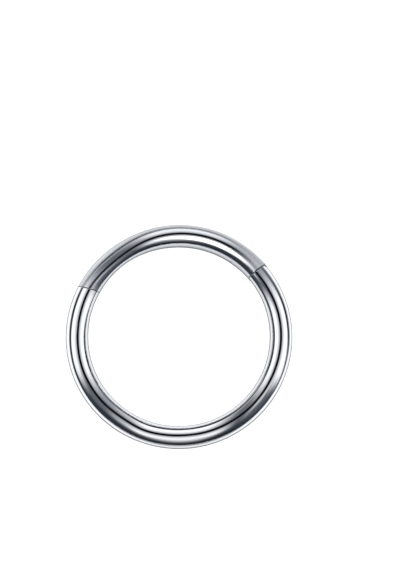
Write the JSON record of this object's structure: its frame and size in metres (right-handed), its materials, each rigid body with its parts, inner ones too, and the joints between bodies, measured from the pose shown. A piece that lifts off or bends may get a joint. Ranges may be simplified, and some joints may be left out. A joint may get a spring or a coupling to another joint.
{
  "type": "hinged helix piercing ring",
  "caption": "Round ring of polished steel wire for a pierced helix, with a short arc that swings open on a small pinned hinge and clicks shut.",
  "frame": {"origin": "on the surface that the ring lies on, under the ring's centre", "axes": "+Z along the ring's axis, up from the surface; +X to the hinge's side; +Y to the side of the short swinging arc"},
  "size_m": [0.012, 0.012, 0.0012],
  "materials": {
    "body_steel": "mirror-polished surgical steel",
    "segment_steel": "polished surgical steel, slightly softer than the long arc",
    "pin_steel": "surgical steel, trimmed and polished flush"
  },
  "bodies": {
    "ring": {"ring_body": "body_steel"},
    "segment": {"hinged_segment": "segment_steel", "hinge_pin": "pin_steel"}
  },
  "joints": [
    {"name": "segment_swing", "type": "hinge", "parent": "ring", "child": "segment", "pos_m": [0.00379, 0.00415, 0.0006], "axis": [0, 0, -1], "range_deg": [0, 75]}
  ]
}
